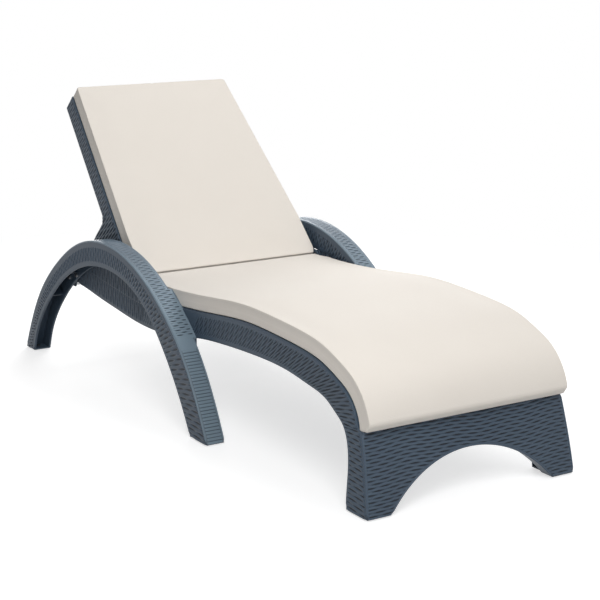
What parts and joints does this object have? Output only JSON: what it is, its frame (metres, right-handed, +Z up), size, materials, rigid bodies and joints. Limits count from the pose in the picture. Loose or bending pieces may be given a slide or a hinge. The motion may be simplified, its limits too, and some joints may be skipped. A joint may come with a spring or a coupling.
{
  "type": "sun lounger",
  "caption": "Reclining outdoor sun lounger with arched arms, S-curved seat, propped tapered back and long cushions.",
  "frame": {"origin": "on the floor under the middle of the lounger's bounding box", "axes": "+Z up, +Y towards the head end, +X to the sitter's left"},
  "size_m": [0.75, 1.86, 0.8644],
  "materials": {
    "woven_resin": "moulded weave",
    "plain_resin": "satin moulded",
    "cushion_fabric": "woven cover",
    "tube": "satin",
    "glide_rubber": "matt",
    "nylon": "smooth",
    "steel": "satin"
  },
  "bodies": {
    "frame": {"left_arm": "woven_resin", "right_arm": "woven_resin", "left_side_panel": "woven_resin", "right_side_panel": "woven_resin", "front_end_panel": "woven_resin", "seat_deck": "plain_resin", "left_hinge_pin": "steel", "right_hinge_pin": "steel", "rear_cross_member": "tube", "hinge_cross_member": "tube", "seat_brace_1": "tube", "seat_brace_2": "tube", "left_prop_rack": "nylon", "right_prop_rack": "nylon", "left_front_glide": "glide_rubber", "right_front_glide": "glide_rubber", "left_mid_glide": "glide_rubber", "right_mid_glide": "glide_rubber", "left_rear_glide": "glide_rubber", "right_rear_glide": "glide_rubber", "arm_bolts": "steel", "arm_washers": "steel", "arm_nuts": "steel", "deck_screws": "steel", "seat_cushion": "cushion_fabric"},
    "backrest": {"left_back_cheek": "woven_resin", "right_back_cheek": "woven_resin", "left_hinge_bush": "nylon", "right_hinge_bush": "nylon", "back_panel": "plain_resin", "back_top_rail": "plain_resin", "back_lower_rail": "tube", "back_prop_rail": "tube", "left_prop_bracket": "nylon", "right_prop_bracket": "nylon", "left_prop_pin": "steel", "right_prop_pin": "steel", "back_panel_screws": "steel", "back_cushion": "cushion_fabric"},
    "prop": {"prop_bar": "tube", "left_prop_sleeve": "nylon", "right_prop_sleeve": "nylon"}
  },
  "joints": [
    {"name": "recline", "type": "hinge", "parent": "frame", "child": "backrest", "pos_m": [0, 0.244, 0.36205], "axis": [1, 0, 0], "range_deg": [-44.6, 10.8]},
    {"name": "prop_swing", "type": "hinge", "parent": "backrest", "child": "prop", "pos_m": [0, 0.42971, 0.42581], "axis": [1, 0, 0], "range_deg": [-23, 94]}
  ],
  "couplings": [
    {"joint": "prop_swing", "follows": "recline", "ratio": -2.1}
  ]
}
